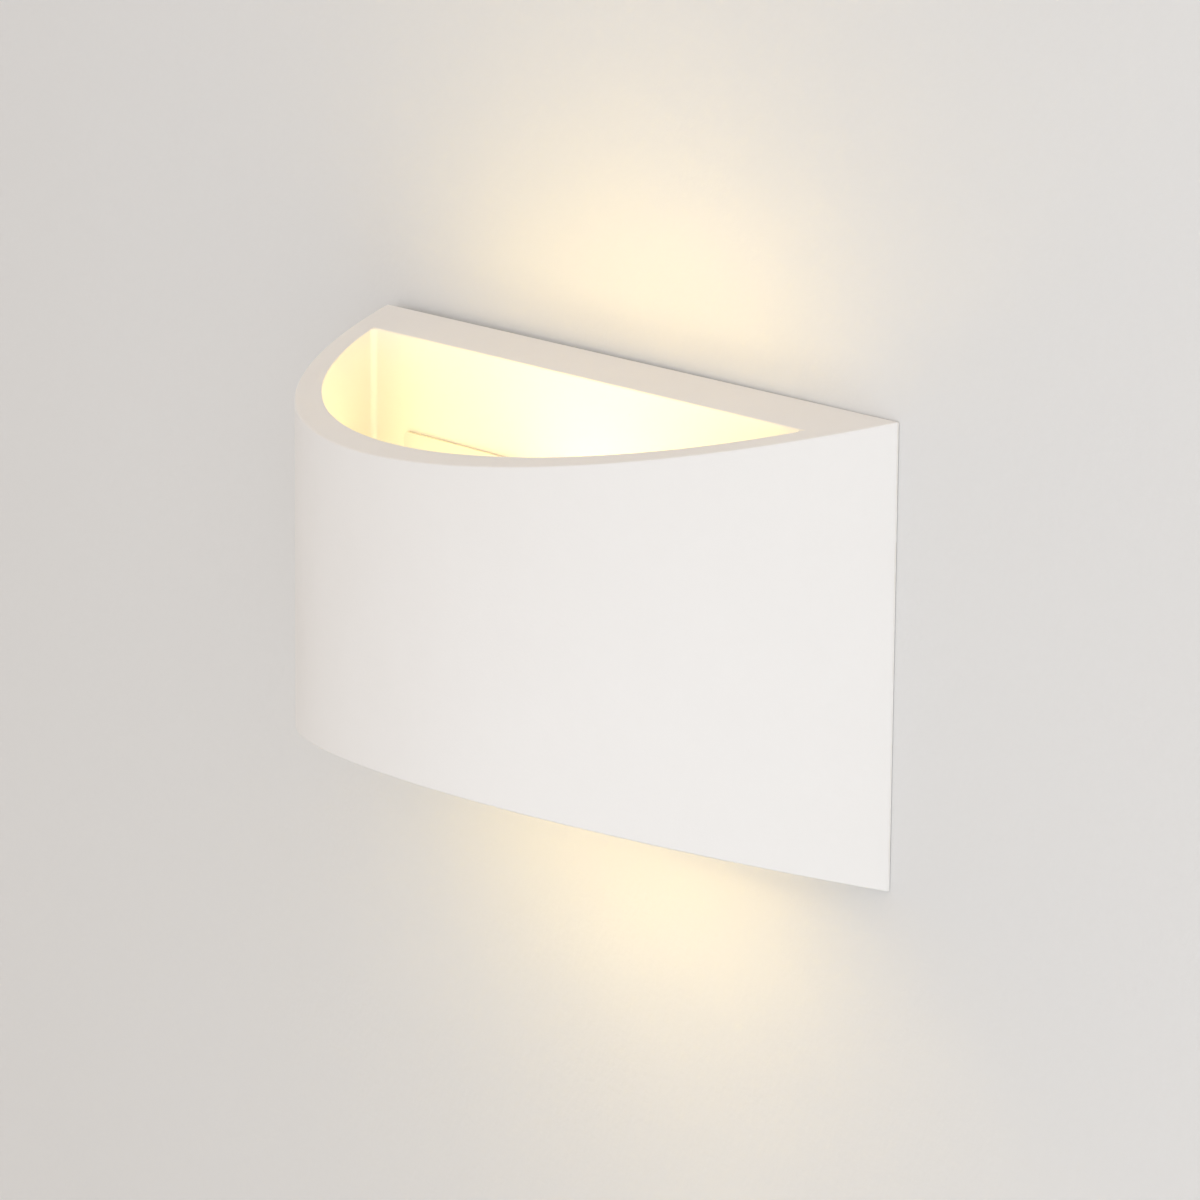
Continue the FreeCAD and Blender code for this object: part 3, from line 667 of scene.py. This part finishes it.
def backdropFinish(look):
    finish = newFinish("eggshellPaint")
    roller = finish.noise(look["roller"], 3.0)
    patches = finish.noise(look["patches"], 2.0).spread(0.35, 0.65)
    colour = finish.mix(patches, look["pale"], look["deep"])
    normal = finish.bump(roller, 0.00012)
    rough = roller.spread(0.3, 0.7, *look["roughness"])
    paint = finish.surface(baseColor=colour, roughness=rough, normal=normal)
    # a sight line that has come through from behind meets no wall on its way back either
    behind = finish.node("ShaderNodeNewGeometry", outlet="Backfacing")
    crossed = finish.node("ShaderNodeLightPath", outlet="Transparent Depth")
    clear = finish.node("ShaderNodeBsdfTransparent")
    links = {0: (behind + crossed) > 0.5, 1: paint, 2: clear}
    return finish.output(finish.node("ShaderNodeMixShader", links=links))


def backdrop(name, corners, material):
    mesh = bpy.data.meshes.new(name)
    mesh.from_pydata(corners, [], [(0, 1, 2, 3)])
    mesh.materials.append(material)
    plane = bpy.data.objects.new(name, mesh)
    scene.collection.objects.link(plane)


paint = backdropFinish(wall)
far = wall["reach"]
low = -wall["floorDrop"]


def onWall(x, z):
    # the wall is not quite true, so the shell touches it at its right end only
    return x, wall["gap"] + wall["lean"] * (shell["halfWidth"] - x), z


backdrop("wall", [onWall(-far, low), onWall(far, low), onWall(far, far), onWall(-far, far)], paint)
backdrop("floor", [(-far, -far, low), (far, -far, low), onWall(far, low), onWall(-far, low)], paint)
print("stage done")

# even light from all round, one soft lamp from the right and one from behind
studio = {
    "level": (0.88, 0.885, 0.91),
    "above": (0.86, 0.71, 0.56),
    "below": (0.49, 0.49, 0.51),
    "seen": (0.86, 0.86, 0.85),
    "key": {"azimuth": 54.0, "elevation": -6.0, "distance": 1.4, "size": (0.7, 1.9), "watts": 7.2,
            "colour": (0.86, 0.93, 1.0)},
    "rear": {"azimuth": 208.0, "elevation": 38.0, "distance": 2.4, "size": (0.9, 0.9), "watts": 8.0,
             "colour": (1.0, 1.0, 1.0)},
}


def sceneLamp(name, kind, place, look, seenInGloss=False, **settings):
    data = bpy.data.lights.new(name, kind)
    data.energy = look["watts"]
    data.color = look["colour"]
    for setting, value in settings.items():
        setattr(data, setting, value)
    lamp = bpy.data.objects.new(name, data)
    lamp.location = place
    lamp.visible_camera = False
    lamp.visible_glossy = seenInGloss
    scene.collection.objects.link(lamp)
    return lamp


def softLamp(name, look):
    # azimuth 0 stands in front of the wall, and 90 to the right of it
    turn = math.radians(look["azimuth"])
    rise = math.radians(look["elevation"])
    away = Vector((math.sin(turn) * math.cos(rise), -math.cos(turn) * math.cos(rise), math.sin(rise)))
    width, height = look["size"]
    place = away * look["distance"]
    lamp = sceneLamp(name, "AREA", place, look, True, shape="RECTANGLE", size=width, size_y=height)
    lamp.rotation_euler = away.to_track_quat("Z", "Y").to_euler()


def studioWorld(look):
    finish = Finish(bpy.data.worlds.new("studio"))
    rays = ["Is Camera Ray", "Is Glossy Ray", "Is Transmission Ray"]
    camera, glossy, through = [finish.node("ShaderNodeLightPath", outlet=ray) for ray in rays]
    seen = (camera + glossy + through) > 0.5
    way = finish.node("ShaderNodeTexCoord", outlet="Generated")
    height = finish.node("ShaderNodeSeparateXYZ", links={0: way}, outlet="Z")
    light = finish.mix(height.spread(0.0, 1.0), look["level"], look["above"])
    light = finish.mix(height.spread(0.0, -1.0), light, look["below"])
    colour = finish.mix(seen, light, look["seen"])
    background = finish.node("ShaderNodeBackground", links={"Color": colour, "Strength": 1.0})
    return finish.output(background, "ShaderNodeOutputWorld")


# what leaves the two ends of the shell: a warm spill next to them and a paler throw past it
spill = {
    "near": {"colour": (1.0, 0.65, 0.08), "watts": 0.0066, "place": (0.0, -0.032, 0.0462),
             "target": (0.0, 0.0, 0.085), "size": (0.15, 0.008)},
    "far": {"colour": (1.0, 0.81, 0.48), "watts": 0.0076, "place": (0.012, -0.040, 0.026),
            "target": (0.014, 0.0, 0.14), "size": (0.10, 0.012)},
    "downward": 1.35,
}

# what the white well throws back into the part behind the lampholder
bounce = {
    "colour": (1.0, 0.90, 0.45),
    "watts": 0.011,
    "place": (-0.062, -0.040, 0.018),
    "radius": 0.012,
}


def spillLamp(name, look, side):
    place, target = [Vector((x, y, side * z)) for x, y, z in (look["place"], look["target"])]
    width, height = look["size"]
    lamp = sceneLamp(name, "AREA", place, look, shape="RECTANGLE", size=width, size_y=height)
    lamp.rotation_euler = (place - target).to_track_quat("Z", "Y").to_euler()
    if side < 0:
        lamp.data.energy *= spill["downward"]


def bounceLamp(name, look, side):
    x, y, z = look["place"]
    sceneLamp(name, "POINT", (x, y, side * z), look, shadow_soft_size=look["radius"])


scene.world = studioWorld(studio)
for name, side in (("Up", 1), ("Down", -1)):
    spillLamp("spill" + name, spill["near"], side)
    spillLamp("throw" + name, spill["far"], side)
    bounceLamp("bounce" + name, bounce, side)
softLamp("keyLamp", studio["key"])
softLamp("rearLamp", studio["rear"])
print("lights done")
